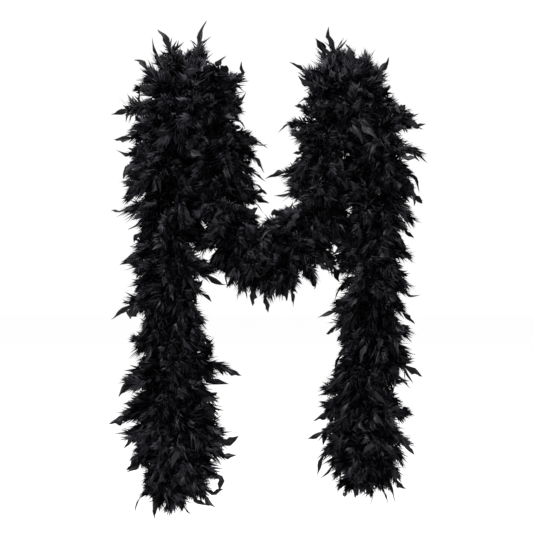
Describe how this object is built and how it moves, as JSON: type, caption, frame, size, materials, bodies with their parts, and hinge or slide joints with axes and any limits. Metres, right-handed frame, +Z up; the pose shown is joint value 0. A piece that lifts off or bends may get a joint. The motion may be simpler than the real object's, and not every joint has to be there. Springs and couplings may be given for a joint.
{
  "type": "feather boa",
  "caption": "Full black chandelle feather boa hung over two pegs, with two fluffy tails and a sag between the pegs.",
  "frame": {"origin": "underside of the wound cord at the top of the left crown, where the left peg bears", "axes": "+Z up, +X from the left peg to the right peg, -Y to the front"},
  "size_m": [0.4557, 0.1455, 0.719],
  "materials": {
    "cord": "matte twisted cotton cord, dyed black",
    "quills": "satin keratin quills sewn on thread, dyed black",
    "down": "matte turkey down, dyed black",
    "tips": "satin feather vane, dyed black",
    "thread": "matte sewing thread, black"
  },
  "bodies": {
    "crowns": {"left_crown_cord": "cord", "left_crown_quills": "quills", "left_crown_outer": "down", "left_crown_top": "down", "left_crown_inner": "down", "right_crown_cord": "cord", "right_crown_quills": "quills", "right_crown_outer": "down", "right_crown_top": "down", "right_crown_inner": "down", "left_crown_tip_1": "tips", "left_crown_tip_2": "tips", "left_crown_tip_3": "tips", "right_crown_tip_1": "tips", "right_crown_tip_2": "tips"},
    "drape": {"drape_cord": "cord", "drape_quills": "quills", "drape_plume_1": "down", "drape_plume_2": "down", "drape_plume_3": "down", "drape_plume_4": "down", "drape_plume_5": "down", "drape_plume_6": "down", "drape_tip_1": "tips", "drape_tip_2": "tips", "drape_tip_3": "tips"},
    "left_tail_1": {"left_tail_1_cord": "cord", "left_tail_1_quills": "quills", "left_tail_1_plume": "down"},
    "left_tail_2": {"left_tail_2_cord": "cord", "left_tail_2_quills": "quills", "left_tail_2_plume": "down", "left_tail_tip_1": "tips"},
    "left_tail_3": {"left_tail_3_cord": "cord", "left_tail_3_quills": "quills", "left_tail_3_plume": "down", "left_tail_tip_2": "tips"},
    "left_tail_4": {"left_tail_4_cord": "cord", "left_tail_4_quills": "quills", "left_tail_4_plume": "down", "left_whipping": "thread", "left_knot": "cord", "left_cord_tail": "cord"},
    "right_tail_1": {"right_tail_1_cord": "cord", "right_tail_1_quills": "quills", "right_tail_1_plume": "down"},
    "right_tail_2": {"right_tail_2_cord": "cord", "right_tail_2_quills": "quills", "right_tail_2_plume": "down", "right_tail_tip_1": "tips"},
    "right_tail_3": {"right_tail_3_cord": "cord", "right_tail_3_quills": "quills", "right_tail_3_plume": "down", "right_tail_tip_2": "tips"},
    "right_tail_4": {"right_tail_4_cord": "cord", "right_tail_4_quills": "quills", "right_tail_4_plume": "down", "right_whipping": "thread", "right_knot": "cord", "right_cord_tail": "cord"}
  },
  "joints": [
    {"name": "drape_swing", "type": "hinge", "parent": "crowns", "child": "drape", "pos_m": [0.038, 0, -0.03286], "axis": [1, 0, 0], "range_deg": [-20, 20]},
    {"name": "left_tail_1_fore_aft", "type": "hinge", "parent": "crowns", "child": "left_tail_1", "pos_m": [-0.038, 0, -0.03286], "axis": [1, 0, 0], "range_deg": [-25, 25]},
    {"name": "left_tail_2_sideways", "type": "hinge", "parent": "left_tail_1", "child": "left_tail_2", "pos_m": [-0.03585, 0, -0.19786], "axis": [0, 1, 0], "range_deg": [0, 30]},
    {"name": "left_tail_3_fore_aft", "type": "hinge", "parent": "left_tail_2", "child": "left_tail_3", "pos_m": [-0.03207, 0, -0.32553], "axis": [1, 0, 0], "range_deg": [-25, 25]},
    {"name": "left_tail_4_sideways", "type": "hinge", "parent": "left_tail_3", "child": "left_tail_4", "pos_m": [-0.03095, 0, -0.4532], "axis": [0, 1, 0], "range_deg": [-22, 30]},
    {"name": "right_tail_1_fore_aft", "type": "hinge", "parent": "crowns", "child": "right_tail_1", "pos_m": [0.274, 0, -0.03286], "axis": [1, 0, 0], "range_deg": [-25, 25]},
    {"name": "right_tail_2_sideways", "type": "hinge", "parent": "right_tail_1", "child": "right_tail_2", "pos_m": [0.26992, 0, -0.19786], "axis": [0, -1, 0], "range_deg": [0, 30]},
    {"name": "right_tail_3_fore_aft", "type": "hinge", "parent": "right_tail_2", "child": "right_tail_3", "pos_m": [0.26413, 0, -0.31953], "axis": [1, 0, 0], "range_deg": [-25, 25]},
    {"name": "right_tail_4_sideways", "type": "hinge", "parent": "right_tail_3", "child": "right_tail_4", "pos_m": [0.25967, 0, -0.4412], "axis": [0, -1, 0], "range_deg": [-22, 30]}
  ]
}
